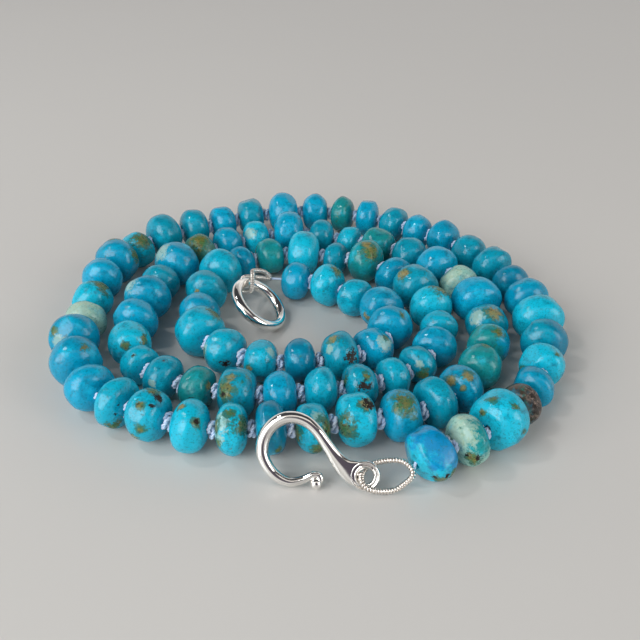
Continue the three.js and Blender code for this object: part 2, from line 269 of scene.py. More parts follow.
# the thread runs through each bead level, from its neighbour on one side towards its neighbour on the other
stops = np.vstack([hookLoopLine[hookLoopTip], centres, ringLoopLine[ringLoopTip]])
axes = stops[2:] - stops[:-2]
axes[:, 2] = 0
axes = unit(axes)


def connect(tree, socket, value):
    # A socket takes a link from another socket, or a fixed value.
    if isinstance(value, bpy.types.NodeSocket):
        tree.links.new(value, socket)
    else:
        socket.default_value = value


def node(tree, kind, links=None, **settings):
    made = tree.nodes.new(kind)
    for key, value in settings.items():
        setattr(made, key, value)
    for key, value in (links or {}).items():
        connect(tree, made.inputs[key], value)
    return made


def maths(tree, operation, first, second=0.0, clamp=False):
    made = node(tree, "ShaderNodeMath", {0: first, 1: second}, operation=operation, use_clamp=clamp)
    return made.outputs[0]


def times(tree, first, second):
    return maths(tree, "MULTIPLY", first, second)


def plus(tree, first, second):
    return maths(tree, "ADD", first, second)


def noise(tree, vector, scale, detail=3.0, roughness=0.5):
    return node(tree, "ShaderNodeTexNoise", {"Vector": vector, "Scale": scale, "Detail": detail,
                                             "Roughness": roughness}).outputs["Fac"]


def step(tree, value, low, high):
    # 0 below low and 1 above high, with a smooth S between them
    return node(tree, "ShaderNodeMapRange", {"Value": value, "From Min": low, "From Max": high},
                interpolation_type="SMOOTHSTEP").outputs[0]


def mixColour(tree, share, first, second):
    # the mix node's inputs 6 and 7 and its output 2 are the ones for colours
    made = node(tree, "ShaderNodeMix", {"Factor": share}, data_type="RGBA")
    connect(tree, made.inputs[6], first)
    connect(tree, made.inputs[7], second)
    return made.outputs[2]


def bumpFrom(tree, shader, height, strength, depth):
    made = node(tree, "ShaderNodeBump", {"Height": height, "Strength": strength, "Distance": depth})
    tree.links.new(made.outputs[0], shader.inputs["Normal"])


def pieceValue(tree, name, output):
    # a value that the piece's mesh carries at its vertices
    return node(tree, "ShaderNodeAttribute", attribute_name=name).outputs[output]


def objectPlace(tree):
    return node(tree, "ShaderNodeTexCoord").outputs["Object"]


def newGroup(name, inputs, outputs):
    group = bpy.data.node_groups.new(name, "ShaderNodeTree")
    for label, kind, value in inputs:
        socket = group.interface.new_socket(name=label, in_out="INPUT", socket_type="NodeSocket" + kind)
        if value is not None:
            socket.default_value = value
    for label, kind in outputs:
        group.interface.new_socket(name=label, in_out="OUTPUT", socket_type="NodeSocket" + kind)
    return group, group.nodes.new("NodeGroupInput").outputs, group.nodes.new("NodeGroupOutput").inputs


def useGroup(tree, group, links, output):
    return node(tree, "ShaderNodeGroup", links, node_tree=group).outputs[output]


def newMaterial(name, **constants):
    material = bpy.data.materials.new(name)
    material.use_nodes = True
    tree = material.node_tree
    shader = tree.nodes["Principled BSDF"]
    for key, value in constants.items():
        shader.inputs[key.replace("_", " ")].default_value = value
    return material, tree, shader


def colour(code):
    # from a screen hex colour to linear light
    values = np.array([int(code[k:k + 2], 16) for k in (0, 2, 4)]) / 255
    linear = np.where(values <= 0.04045, values / 12.92, ((values + 0.055) / 1.055) ** 2.4)
    return (*linear.tolist(), 1.0)


raggedRim = dict(detail=4.0, roughness=0.6, fineScale=3.7, fineShare=0.75)


def makePatchGroup():
    # Turns a smooth field, 1 in a patch's middle and 0 at its rim, into a patch with a ragged rim: the field
    # plus ragged · (coarse noise + a share of fine noise), cut softly at 0.
    group, put, out = newGroup(
        "ragged patch", [("Vector", "Vector", None), ("Field", "Float", 0.0), ("Scale", "Float", 900.0),
                         ("Ragged", "Float", 1.0), ("Soft", "Float", 0.06)], [("Mask", "Float")])

    def evenNoise(scale):
        value = noise(group, put["Vector"], scale, raggedRim["detail"], raggedRim["roughness"])
        return maths(group, "SUBTRACT", value, 0.5)

    coarse = evenNoise(put["Scale"])
    fine = evenNoise(times(group, put["Scale"], raggedRim["fineScale"]))
    rough = plus(group, coarse, times(group, fine, raggedRim["fineShare"]))
    field = plus(group, put["Field"], times(group, rough, put["Ragged"]))
    low = maths(group, "SUBTRACT", 0.0, put["Soft"])
    group.links.new(step(group, field, low, put["Soft"]), out["Mask"])
    return group


veinLines = dict(shakeScale=700.0, shakeDetail=4.0, shake=0.0028, breakScale=230.0, breakDetail=2.0,
                 breakFrom=0.78, breakByAmount=0.36, breakSoft=0.07)


def makeVeinGroup():
    # Thin dark lines along the walls between cells whose places are shaken by noise, broken where a second
    # noise is low.
    group, put, out = newGroup(
        "stone veins", [("Vector", "Vector", None), ("Scale", "Float", 260.0), ("Width", "Float", 0.03),
                        ("Amount", "Float", 0.5)], [("Mask", "Float")])

    def vectors(operation, links):
        return node(group, "ShaderNodeVectorMath", links, operation=operation).outputs[0]

    shake = node(group, "ShaderNodeTexNoise", {"Vector": put["Vector"], "Scale": veinLines["shakeScale"],
                                               "Detail": veinLines["shakeDetail"]}).outputs["Color"]
    moved = vectors("SUBTRACT", {0: shake, 1: (0.5, 0.5, 0.5)})
    moved = vectors("SCALE", {0: moved, "Scale": veinLines["shake"]})
    place = vectors("ADD", {0: put["Vector"], 1: moved})
    walls = node(group, "ShaderNodeTexVoronoi", {"Vector": place, "Scale": put["Scale"]},
                 feature="DISTANCE_TO_EDGE").outputs["Distance"]
    line = maths(group, "SUBTRACT", 1.0, step(group, walls, 0.0, put["Width"]))
    where = noise(group, put["Vector"], veinLines["breakScale"], veinLines["breakDetail"])
    fewer = times(group, put["Amount"], veinLines["breakByAmount"])
    bar = maths(group, "SUBTRACT", veinLines["breakFrom"], fewer)
    broken = step(group, where, bar, plus(group, bar, veinLines["breakSoft"]))
    group.links.new(maths(group, "MULTIPLY", line, broken, True), out["Mask"])
    return group


fineMarks = dict(stretch=(0.1, 1.0, 1.0), scratchDetail=2.0, scratchShare=0.6, grainDetail=3.0,
                 grainShare=0.4)


def makeWearGroup():
    # Fine wear: long scratches are a noise stretched ten times along x, mixed with a round grain.
    group, put, out = newGroup("fine wear", [("Vector", "Vector", None), ("Scale", "Float", 2500.0)],
                               [("Value", "Float")])
    stretched = node(group, "ShaderNodeMapping", {"Vector": put["Vector"], "Scale": fineMarks["stretch"]})
    scratch = noise(group, stretched.outputs[0], put["Scale"], fineMarks["scratchDetail"])
    grain = noise(group, put["Vector"], put["Scale"], fineMarks["grainDetail"])
    group.links.new(plus(group, times(group, scratch, fineMarks["scratchShare"]),
                         times(group, grain, fineMarks["grainShare"])), out["Value"])
    return group


raggedPatch = makePatchGroup()
stoneVeins = makeVeinGroup()
fineWear = makeWearGroup()

stoneColours = dict(
    rim=colour("286e63"), olive=colour("40682f"), gold=colour("736a28"), dark=colour("211d12"),
    rust=colour("8f7f45"), ash=colour("84885a"), freckle=colour("123f40"), host=colour("7d6a60"),
    black=colour("1f1714"), pale=colour("acc4b2"), cream=colour("adbd9d"), pit=colour("1c120c"),
    vein=colour("3b3a26"), veinPale=colour("5f7a55"), milky=colour("1ec6e6"), deep=colour("085d76"),
    grain=colour("0b5c61"),
)
# mottling over a stone's two tones, layer by layer: colour, the noise's scale, detail and roughness, where
# the layer starts and where it is full, and its share
mottling = [
    ("milky", (430.0, 5.0, 0.6), (0.5, 0.78), 0.65),
    ("deep", (620.0, 5.0, 0.62), (0.5, 0.76), 0.7),
    ("grain", (3000.0, 4.0, 0.65), (0.5, 0.7), 0.6),
    ("freckle", (1900.0, 6.0, 0.75), (0.62, 0.72), 0.7),
]
# rims of the patches that are placed bead by bead
patchRims = dict(
    second=dict(Scale=300.0, Ragged=2.2, Soft=0.3),
    pale=dict(Scale=700.0, Ragged=2.2, Soft=0.3),
    rock=dict(Scale=560.0, Ragged=3.4, Soft=0.32),
    pit=dict(Scale=1300.0, Ragged=4.2, Soft=0.12),
)
stoneLook = dict(
    # noises: scale, detail and roughness
    chalk=(1500.0, 4.0, 0.5), blotch=(1000.0, 6.0, 0.7), darkGrain=(2300.0, 6.0, 0.78),
    waves=(450.0, 5.0, 0.6),
    # where each colour starts and where it is full
    cream=(0.45, 0.65), gold=(0.44, 0.62), rust=(0.38, 0.56), black=(0.44, 0.54), middle=(1.15, 1.75),
    scatter=(0.35, 1.25), dark=(0.53, 0.63), vein=(0.4, 0.6), middleBlotch=2.4, scatterBlotch=1.6,
    # how far each colour covers what is under it
    paleShare=0.6, rockShare=0.93, darkShare=0.88, veinShare=0.85,
    veinScale=300.0, veinWidth=0.03,
    # roughness of the polish, and what wear, rock and pits add to it
    polish=0.05, wearScale=3000.0, wear=0.16, rockRough=0.16, pitRough=0.4,
    # how low veins and dark grains lie where a pit is 1, height of the waves, and the bump's strength and
    # depth in metres
    veinLow=0.3, grainLow=0.3, waveHeight=1.7, bump=0.7, depth=0.00014,
)


def makeTurquoise():
    look = stoneLook
    material, tree, shader = newMaterial("polished turquoise", IOR=1.5, Specular_IOR_Level=0.38)
    place = objectPlace(tree)

    def three(name):
        return node(tree, "ShaderNodeSeparateXYZ", {0: pieceValue(tree, name, "Vector")}).outputs

    def patch(kind, field):
        return useGroup(tree, raggedPatch, {"Vector": place, "Field": field, **patchRims[kind]}, "Mask")

    def blend(value, name, first, second):
        return mixColour(tree, step(tree, value, *look[name]), stoneColours[first], stoneColours[second])

    # rock, pale and pit fields, then second tone, amount of veins, and 1 for rust or 2 and over for host rock
    rockField, paleField, pitField = three("marks")
    toneField, veinAmount, rockKind = three("nature")
    # two tones in clouds, then milky and deep mottling, a fine grain and freckles
    stone = mixColour(tree, patch("second", toneField), pieceValue(tree, "tone", "Color"),
                      pieceValue(tree, "undertone", "Color"))
    for name, texture, span, share in mottling:
        layer = step(tree, noise(tree, place, *texture), *span)
        stone = mixColour(tree, times(tree, layer, share), stone, stoneColours[name])
    # pale chalk
    chalk = blend(noise(tree, place, *look["chalk"]), "cream", "pale", "cream")
    stone = mixColour(tree, times(tree, patch("pale", paleField), look["paleShare"]), stone, chalk)
    # mother rock: a soft stain, green at its rim and olive to gold in its middle
    blotch = noise(tree, place, *look["blotch"])
    rock = mixColour(tree, rockKind, blend(blotch, "gold", "olive", "gold"),
                     blend(blotch, "rust", "ash", "rust"))
    middle = step(tree, plus(tree, rockField, times(tree, blotch, look["middleBlotch"])), *look["middle"])
    rock = mixColour(tree, middle, stoneColours["rim"], rock)
    host = blend(blotch, "black", "host", "black")
    rock = mixColour(tree, maths(tree, "SUBTRACT", rockKind, 1.0, True), rock, host)
    rockShare = times(tree, patch("rock", rockField), look["rockShare"])
    stone = mixColour(tree, rockShare, stone, rock)
    # dark grains, which scatter a little past the stain
    scatter = step(tree, plus(tree, rockField, times(tree, blotch, look["scatterBlotch"])), *look["scatter"])
    grains = step(tree, noise(tree, place, *look["darkGrain"]), *look["dark"])
    darkness = times(tree, grains, scatter)
    stone = mixColour(tree, times(tree, darkness, look["darkShare"]), stone, stoneColours["dark"])
    # veins and open pits
    veins = useGroup(tree, stoneVeins, {"Vector": place, "Scale": look["veinScale"],
                                        "Width": look["veinWidth"], "Amount": veinAmount}, "Mask")
    veinColour = blend(blotch, "vein", "veinPale", "vein")
    stone = mixColour(tree, times(tree, veins, look["veinShare"]), stone, veinColour)
    pits = patch("pit", pitField)
    stone = mixColour(tree, pits, stone, stoneColours["pit"])
    tree.links.new(stone, shader.inputs["Base Color"])
    wear = useGroup(tree, fineWear, {"Vector": place, "Scale": look["wearScale"]}, "Value")
    roughness = plus(tree, look["polish"], times(tree, wear, look["wear"]))
    roughness = plus(tree, roughness, times(tree, rockShare, look["rockRough"]))
    roughness = maths(tree, "ADD", roughness, times(tree, pits, look["pitRough"]), True)
    tree.links.new(roughness, shader.inputs["Roughness"])
    # height: the faint waves of the polish, less the pits, the veins and the dark grains of the rock
    low = plus(tree, pits, times(tree, veins, look["veinLow"]))
    low = plus(tree, low, times(tree, times(tree, rockShare, darkness), look["grainLow"]))
    waves = times(tree, noise(tree, place, *look["waves"]), look["waveHeight"])
    bumpFrom(tree, shader, maths(tree, "SUBTRACT", waves, low), look["bump"], look["depth"])
    return material


metalLook = dict(wearScale=3500.0, wear=0.12, cloud=(260.0, 4.0), cloudSpan=(0.45, 0.8),
                 tarnish=colour("a79c92"), tarnishShare=0.2, bump=0.25, depth=0.00001)


def makeSilver(name, base, smooth):
    material, tree, shader = newMaterial(name, Metallic=1.0)
    place = objectPlace(tree)
    wear = useGroup(tree, fineWear, {"Vector": place, "Scale": metalLook["wearScale"]}, "Value")
    cloud = step(tree, noise(tree, place, *metalLook["cloud"]), *metalLook["cloudSpan"])
    tarnished = mixColour(tree, times(tree, cloud, metalLook["tarnishShare"]), base, metalLook["tarnish"])
    tree.links.new(tarnished, shader.inputs["Base Color"])
    roughness = plus(tree, smooth, times(tree, wear, metalLook["wear"]))
    tree.links.new(roughness, shader.inputs["Roughness"])
    bumpFrom(tree, shader, wear, metalLook["bump"], metalLook["depth"])
    return material


silkLook = dict(shade=colour("c3dcff"), light=colour("f4faff"), groove=colour("86a6e0"), cloud=(900.0, 3.0),
                streakScale=1.6, streakShake=1.5, streakShare=0.35, bump=0.5, depth=0.00004)


def makeSilk():
    material, tree, shader = newMaterial("twisted silk", Roughness=0.4, Sheen_Weight=0.8, Sheen_Roughness=0.3)
    fibre = node(tree, "ShaderNodeCombineXYZ", {0: pieceValue(tree, "fibre", "Fac")}).outputs[0]
    streak = node(tree, "ShaderNodeTexWave", {"Vector": fibre, "Scale": silkLook["streakScale"],
                                              "Distortion": silkLook["streakShake"]}).outputs["Fac"]
    cloud = noise(tree, objectPlace(tree), *silkLook["cloud"])
    tint = mixColour(tree, cloud, silkLook["shade"], silkLook["light"])
    tint = mixColour(tree, times(tree, streak, silkLook["streakShare"]), tint, silkLook["groove"])
    tree.links.new(tint, shader.inputs["Base Color"])
    bumpFrom(tree, shader, streak, silkLook["bump"], silkLook["depth"])
    return material


turquoise = makeTurquoise()
silver = makeSilver("polished silver", colour("f2f0ec"), 0.03)
bullion = makeSilver("bullion wire", colour("e4ddd5"), 0.22)
silk = makeSilk()
print("materials made")

# tone of stone by letter: blues u, v, b and d, cyans c and q, teal t, green g, pale p, olive o and brown k
tones = dict(
    u=colour("0086bc"), v=colour("049ec4"), b=colour("0392b6"), d=colour("037c9c"), c=colour("10b4d0"),
    q=colour("0aa6c2"), t=colour("0892ac"), g=colour("168a8c"), p=colour("94c1b2"), o=colour("4c7e6c"),
    k=colour("4e4035"),
)
# main tone, second tone, veins from 0 to 9 and mother rock from 0 to 9, bead by bead
stoneChart = (
    "uc11 pg43 cq12 kt58 bd11 cq22 dt10 cq01 bv11 db11 tq12 td12 bv10 vb10 tg12 vb00 go25 vc00 vb00 td20 "
    "vv00 tb11 tq11 co25 bo25 vb01 co24 pg23 bp34 bq12 vc00 qc22 qt42 cv21 cp75 db11 qc33 cq31 bv11 tq11 "
    "bd11 gq21 gb23 to25 vb00 pv23 vv00 tb11 gt23 cv01 td12 vb01 cp11 bt12 ot36 bp23 tg12 bp23 vb11 co24 "
    "qc22 tq11 go24 tk56 vb00 qq00 tg44 qb11 to23 bv11 qp11 co13 to24 bv01 go34 tq12 cv10 gt22 bv11 qp11 "
    "to22 bc10 qb11 qo22 qb43 db10 tg44 vp32 bt21 bv00 qt11 ct12 vc00"
).split()
# Patches bead by bead: kind, compass direction, height angle and angular radius, all in degrees.
# Directions run from the bead's centre: 0 is to the right, 90 to the back, 180 to the left, 270 to the front.
patches = {
    # bead 1: its big cyan second-tone patch low on the left is partly the stone's own lighter teal and partly
    # painted light, brighter where that side faces the window and the bounce from the table
    1: [("second", 235, -22, 66), ("rock", 292, -26, 16), ("rock", 320, -16, 12),
        ("pit", 275, -25, 6), ("pit", 300, -12, 6)],
    2: [("rock", 272, -6, 20), ("pale", 225, 50, 34), ("pit", 285, -2, 6), ("pit", 262, -2, 5),
        ("second", 300, 45, 36)],
    3: [("rock", 187, 70, 11), ("rock", 316, 58, 10), ("rock", 206, 36, 9), ("rock", 318, 3, 7)],
    4: [("host", 340, 42, 42), ("host", 320, 0, 34), ("pit", 318, 55, 9), ("pit", 255, 45, 7),
        ("pit", 300, 30, 8)],
    6: [("rock", 200, -5, 16), ("rock", 320, 55, 9)],
    7: [("second", 190, 45, 50)],
    24: [("rock", 320, 60, 34)],
    25: [("rock", 100, 60, 18), ("rock", 355, 20, 22)],
    27: [("rock", 20, 50, 30)],
    28: [("rock", 275, -5, 22), ("pale", 240, 60, 40)],
    29: [("pale", 240, 20, 20), ("rock", 215, 40, 12), ("rock", 310, 10, 18)],
    30: [("rock", 330, 55, 12)],
    32: [("rock", 268, -30, 20), ("pit", 290, 28, 4), ("pit", 277, 5, 4)],
    33: [("rock", 45, 74, 13), ("pit", 355, 60, 9), ("pit", 300, 56, 5), ("rock", 262, 6, 10),
         ("rust", 240, -22, 11), ("rock", 255, 60, 12)],
    34: [("rock", 302, 44, 11), ("pit", 305, 46, 6), ("rust", 190, 75, 10)],
    35: [("pale", 232, 50, 22), ("pale", 238, 15, 16), ("rock", 215, 30, 20), ("rock", 320, 40, 26),
         ("rock", 240, 2, 12), ("rock", 270, 78, 14)],
    36: [("rock", 290, -20, 10)],
    37: [("rock", 315, 22, 32), ("rock", 215, 8, 28), ("rock", 285, -18, 20), ("pale", 300, 58, 18),
         ("pit", 305, 22, 6)],
    38: [("rock", 236, 16, 30), ("rust", 330, 64, 17), ("pit", 335, 62, 12), ("pit", 215, -2, 6)],
    39: [("rock", 275, 68, 30)],
    41: [("rust", 300, 66, 18), ("rust", 215, 45, 17), ("rust", 265, 38, 9)],
    42: [("rock", 60, 66, 12)],
    43: [("rock", 320, 66, 18), ("second", 345, 20, 45)],
    44: [("rust", 300, 64, 24), ("pale", 215, 40, 20)],
    46: [("pale", 215, 50, 30)],
    53: [("pale", 240, 40, 22)],
    55: [("rock", 270, 60, 45)],
    56: [("pale", 190, 45, 26)],
    58: [("pale", 185, 45, 24)],
    60: [("rock", 270, 28, 12), ("rock", 330, 30, 14)],
    61: [("rock", 255, 62, 6), ("pit", 250, 62, 3), ("pit", 330, 0, 12)],
    62: [("pit", 350, 80, 5), ("pale", 250, 20, 10)],
    63: [("rust", 325, 34, 14), ("pit", 265, 5, 10)],
    64: [("rust", 230, 72, 14), ("rock", 240, 40, 22), ("pit", 240, 30, 5)],
    67: [("rock", 300, 60, 12), ("rock", 200, 35, 14), ("pit", 280, 35, 12)],
    69: [("rock", 280, 0, 20), ("pale", 270, 35, 12)],
    72: [("rock", 10, 68, 24)],
    73: [("rust", 200, 50, 16)],
    75: [("rock", 290, 50, 26), ("rust", 270, 75, 14)],
    81: [("rust", 240, 25, 12)],
    82: [("rock", 240, 25, 10)],
    83: [("rock", 20, 50, 18)],
    84: [("rust", 200, 10, 18), ("pale", 210, 25, 12), ("pit", 275, -5, 10)],
    85: [("pale", 330, 50, 14), ("rust", 240, 10, 12)],
    87: [("rust", 200, 72, 14), ("pit", 305, 28, 14), ("pale", 225, 45, 12)],
    88: [("pale", 320, 45, 24), ("rock", 340, 50, 12)],
    89: [("rock", 330, 55, 10)],
    90: [("rust", 225, 0, 14)],
    92: [("rock", 0, 60, 20)],
}
# extra turn about the upright and rise of the thread's far end, in degrees
leans = {1: (6, 15), 2: (-3, 3), 3: (4, -4)}
# ground flats bead by bead: compass direction, height angle and share of the bead's reach
flats = {
    1: [(290, 52, 0.74), (235, -20, 0.86)],
    4: [(330, 30, 0.86)],
    34: [(60, 20, 0.88)],
    36: [(120, 30, 0.85)],
}
bead = dict(
    seed=27, around=64, outer=36, squareness=(2.25, 2.75), slim=(0.93, 0.99),
    # drilled hole and its mouth, and the lip between them: way in from the end and width beyond the hole
    mouth=0.72, hole=0.5, lip=[(0.03, 0.1), (0.12, 0.02), (0.4, 0.0)],
    # lumps as shares of the radius, how far each bead has its share of them, and the width in which they fade
    # in from the hole's mouth
    lopsided=0.06, oval=0.035, dimple=0.035, amounts=(0.3, 1.0), dimpleWaves=1.5, fade=1.5,
    # spread of the turn and of the rise in degrees
    yaw=5.0, pitch=4.0, tilt=0.5,
    # random flats: how many, share of the reach at which they cut, and how far what lies beyond is pushed in
    cuts=2, flat=(0.88, 0.98), flatPush=0.8,
    pitDepth=0.06, pitCurve=0.7,
    # the fields: how far below 0 they may fall, how sharply rust and host rock end, and where the second tone,
    # the rock and the chalk start on the rest of a stone
    floor=-1.5, kindEdge=4, toneSlant=0.3, toneFacing=(0.4, -0.6), toneBase=0.75,
    rockBase=1.0, rockStep=0.075, paleBase=1.3, levels=9,
)


def beadProfile(radius, half, squareness):
    # From mouth to mouth: along = half · cos t and out = radius · sin t, with cos t and sin t to the power
    # 2 / squareness. Then back through the drilled hole with a rounded lip.
    power = 2 / squareness
    first = math.asin((bead["mouth"] / radius) ** (1 / power))
    t = np.linspace(first, math.pi - first, bead["outer"])
    along = half * np.sign(np.cos(t)) * np.abs(np.cos(t)) ** power
    out = radius * np.sin(t) ** power
    end, hole = abs(along[0]), bead["hole"]
    lip = np.array([[-end + inward, hole + wider] for inward, wider in bead["lip"]] + [[0, hole]])
    return np.vstack([np.column_stack([along, out]), lip, lip[2::-1] * [-1, 1]])


def towards(compass, height):
    # Unit vector: cos height · cos compass, cos height · sin compass, sin height.
    compass, height = math.radians(compass), math.radians(height)
    level = math.cos(height)
    return np.array([level * math.cos(compass), level * math.sin(compass), math.sin(height)])


def beadPatches(number, directions):
    # Each field is 1 - angle from the patch's middle / its radius: 1 in the middle, 0 at the rim and below 0
    # outside.
    fields = {kind: np.full(len(directions), bead["floor"])
              for kind in ("rock", "pale", "pit", "second", "rust", "host")}
    for kind, compass, height, size in patches.get(number, ()):
        apart = np.degrees(np.arccos(np.clip(directions @ towards(compass, height), -1, 1)))
        field = np.maximum(1 - apart / size, bead["floor"])
        fields[kind] = np.maximum(fields[kind], field)
        if kind in ("rust", "host"):
            fields["rock"] = np.maximum(fields["rock"], field)
    return fields


def beadSwell(angle, share, amounts, phases):
    # A hand-ground pebble: lopsided · sin a + oval · sin 2a + dimples that change along the thread, as shares
    # of the radius.
    return (bead["lopsided"] * amounts[0] * np.sin(angle + phases[0]) * share
            + bead["oval"] * amounts[1] * np.sin(2 * angle + phases[1])
            + bead["dimple"] * amounts[2] * np.sin(3 * angle + phases[2])
            * np.cos(bead["dimpleWaves"] * share * math.pi + phases[3])
            + bead["dimple"] * amounts[3] * np.sin(angle + phases[4]) * np.cos(share * math.pi + phases[5]))


def makeBead(i, chance):
    diameter, length, axis = diameters[i], lengths[i], axes[i]
    squareness = chance.uniform(*bead["squareness"])
    phases = chance.uniform(0, 2 * math.pi, 6)
    amounts = chance.uniform(*bead["amounts"], 4)
    yaw, pitch = chance.normal(0, bead["tilt"], 2) * (bead["yaw"], bead["pitch"]) + leans.get(i + 1, (0, 0))
    slant = chance.uniform(-bead["toneSlant"], bead["toneSlant"])
    profile = beadProfile(diameter / 2, chance.uniform(*bead["slim"]) * length / 2, squareness)
    # the profile is turned round the thread, swollen, leant, and laid along the string
    angle = fullTurn(bead["around"])
    along, out = profile[:, :1], profile[:, 1:]
    level = np.broadcast_to(along, (len(profile), len(angle)))
    local = np.stack([level, out * np.cos(angle), out * np.sin(angle)], -1)
    outside = np.clip((out - bead["hole"]) / bead["fade"], 0, 1)
    local[..., 1:] *= (1 + beadSwell(angle, along / (length / 2), amounts, phases) * outside)[..., None]
    local = turned(turned(local, -pitch, "y"), yaw, "z")
    world = local @ np.stack([axis, np.cross(upward, axis), upward])
    # ground flats: what lies beyond a plane at a share of the bead's reach is pushed back towards it
    cuts = [(unit(chance.normal(0, 1, 3)), chance.uniform(*bead["flat"])) for _ in range(bead["cuts"])]
    cuts += [(towards(compass, height), share) for compass, height, share in flats.get(i + 1, ())]
    for direction, limit in cuts:
        reach = world @ direction
        beyond = np.maximum(reach - limit * reach.max(), 0)[..., None]
        world = world - beyond * outside[..., None] * (bead["flatPush"] * direction)
    directions = unit(world).reshape(-1, 3)
    fields = beadPatches(i + 1, directions)
    dent = np.clip(fields["pit"], 0, 1) ** bead["pitCurve"] * bead["pitDepth"]
    world = world * (1 - dent.reshape(world.shape[:2]) * outside)[..., None]
    world[..., 2] -= world[..., 2].min() + diameter / 2  # the lowest point touches the table
    skin = surface(world + centres[i], closedRows=True)
    # what the stone's material reads: its two tones, and the fields that place its marks
    main, second, veinLevel, rockLevel = stoneChart[i]
    count = len(skin[0])
    facing = directions @ unit(np.array([slant, *bead["toneFacing"]]))
    tone = np.maximum(fields["second"], facing - bead["toneBase"])
    rock = np.maximum(fields["rock"], int(rockLevel) * bead["rockStep"] - bead["rockBase"])
    pale = np.maximum(fields["pale"], -bead["paleBase"])
    rust, host = (np.clip(fields[kind] * bead["kindEdge"] + 1, 0, 1) for kind in ("rust", "host"))
    veins = np.full(count, int(veinLevel) / bead["levels"])
    strand = (i - singleBeads) // beadsPerStrand + 1
    nodeName = f"bead_{i + 1:02d}" if i < singleBeads else f"bead_strand_{strand}"
    makePiece(f"turquoise_{i + 1:02d}", [skin], turquoise, "turquoise", [nodeName],
              tone=np.tile(tones[main], (count, 1)), undertone=np.tile(tones[second], (count, 1)),
              marks=np.column_stack([rock, pale, fields["pit"]]),
              nature=np.column_stack([tone, veins, rust + 2 * host]))


def makeBeads():
    chance = np.random.default_rng(bead["seed"])
    for i in range(len(chart)):
        makeBead(i, chance)
    print("beads:", len(chart))


thread = dict(
    seed=5, core=0.24, coreSides=8, coreSteps=3, ply=0.19, plySides=6, plyApart=0.15, steps=90, twists=9,
    ringRadius=0.76, coil=0.4, squeeze=0.9, spread=(1.0, 1.2), straight=0.42,
)


def tube(line, radius, sides, closed, normals=None):
    # A round section carried along a line: point = line + radius · (cos a · normal + sin a · binormal).
    tangents = alongLine(line, closed)
    if normals is None:
        normals = np.broadcast_to(upward, line.shape)
    normals = squareTo(tangents, normals)
    binormals = np.cross(tangents, normals)
    angle = fullTurn(sides)[None, :, None]
    outward = np.cos(angle) * normals[:, None] + np.sin(angle) * binormals[:, None]
    return surface(line[:, None] + radius * outward, closedRows=closed, capped=not closed)


def knotSkins(middle, axis, turn, scale):
    # A pulled-tight knot is a trefoil round the thread: twice round the thread while three times round its
    # own ring, so point = ring radius · outward + coil · (cos 3t · outward - sin 3t · squeeze · axis), where
    # outward turns round the thread by 2t.
    # Each of the two plies runs beside that line and twists round it.
    t = fullTurn(thread["steps"])
    side = np.cross(upward, axis)
    outward = np.cos(2 * t + turn)[:, None] * side + np.sin(2 * t + turn)[:, None] * upward
    spoke = np.cos(3 * t)[:, None] * outward - (np.sin(3 * t) * thread["squeeze"])[:, None] * axis
    line = middle + scale * (thread["ringRadius"] * outward + thread["coil"] * spoke)
    tangents = alongLine(line, True)
    spoke = squareTo(tangents, spoke)
    binormal = np.cross(tangents, spoke)
    skins = []
    for phase in (0, math.pi):
        twist = thread["twists"] * t + phase
        aside = np.cos(twist)[:, None] * spoke + np.sin(twist)[:, None] * binormal
        ply = line + scale * thread["plyApart"] * aside
        skins.append(tube(ply, scale * thread["ply"], thread["plySides"], True, spoke))
    return skins


def makeSilkPiece(name, first, last, nodes):
    # The thread runs straight through the middle of each bead and bends at the knots, which sit halfway
    # between the ends of two beads.
    chance = np.random.default_rng(thread["seed"] + first)
    skins, path = [], []
    for i in range(first, last):
        if i == 0:
            path.append(hookLoopLine[hookLoopTip])
        inside = axes[i] * lengths[i] * thread["straight"]
        path += [centres[i] - inside, centres[i], centres[i] + inside]
        if i + 1 < len(chart):
            start = centres[i] + axes[i] * lengths[i] / 2
            end = centres[i + 1] - axes[i + 1] * lengths[i + 1] / 2
            turn = chance.uniform(0, 2 * math.pi)
            scale = chance.uniform(*thread["spread"])
            skins += knotSkins((start + end) / 2, unit(axes[i] + axes[i + 1]), turn, scale)
            path.append((start + end) / 2)
        else:
            path.append(ringLoopLine[ringLoopTip])
    core = smoothRows(path, len(path) * thread["coreSteps"])
    skins.append(tube(core, thread["core"], thread["coreSides"], False))
    count = sum(len(skin[0]) for skin in skins)
    fibre = np.arange(count) % thread["plySides"] / thread["plySides"]  # 0 to 1 round a ply
    makePiece(name, skins, silk, "silk", nodes, fibre=fibre)


def makeThread():
    count = math.ceil((len(chart) - singleBeads) / beadsPerStrand)
    strands = [f"bead_strand_{k + 1}" for k in range(count)]
    makeSilkPiece("silk_front", 0, singleBeads, ["silk_thread"])
    makeSilkPiece("silk_back", singleBeads, len(chart), strands)
    print("silk knotted")


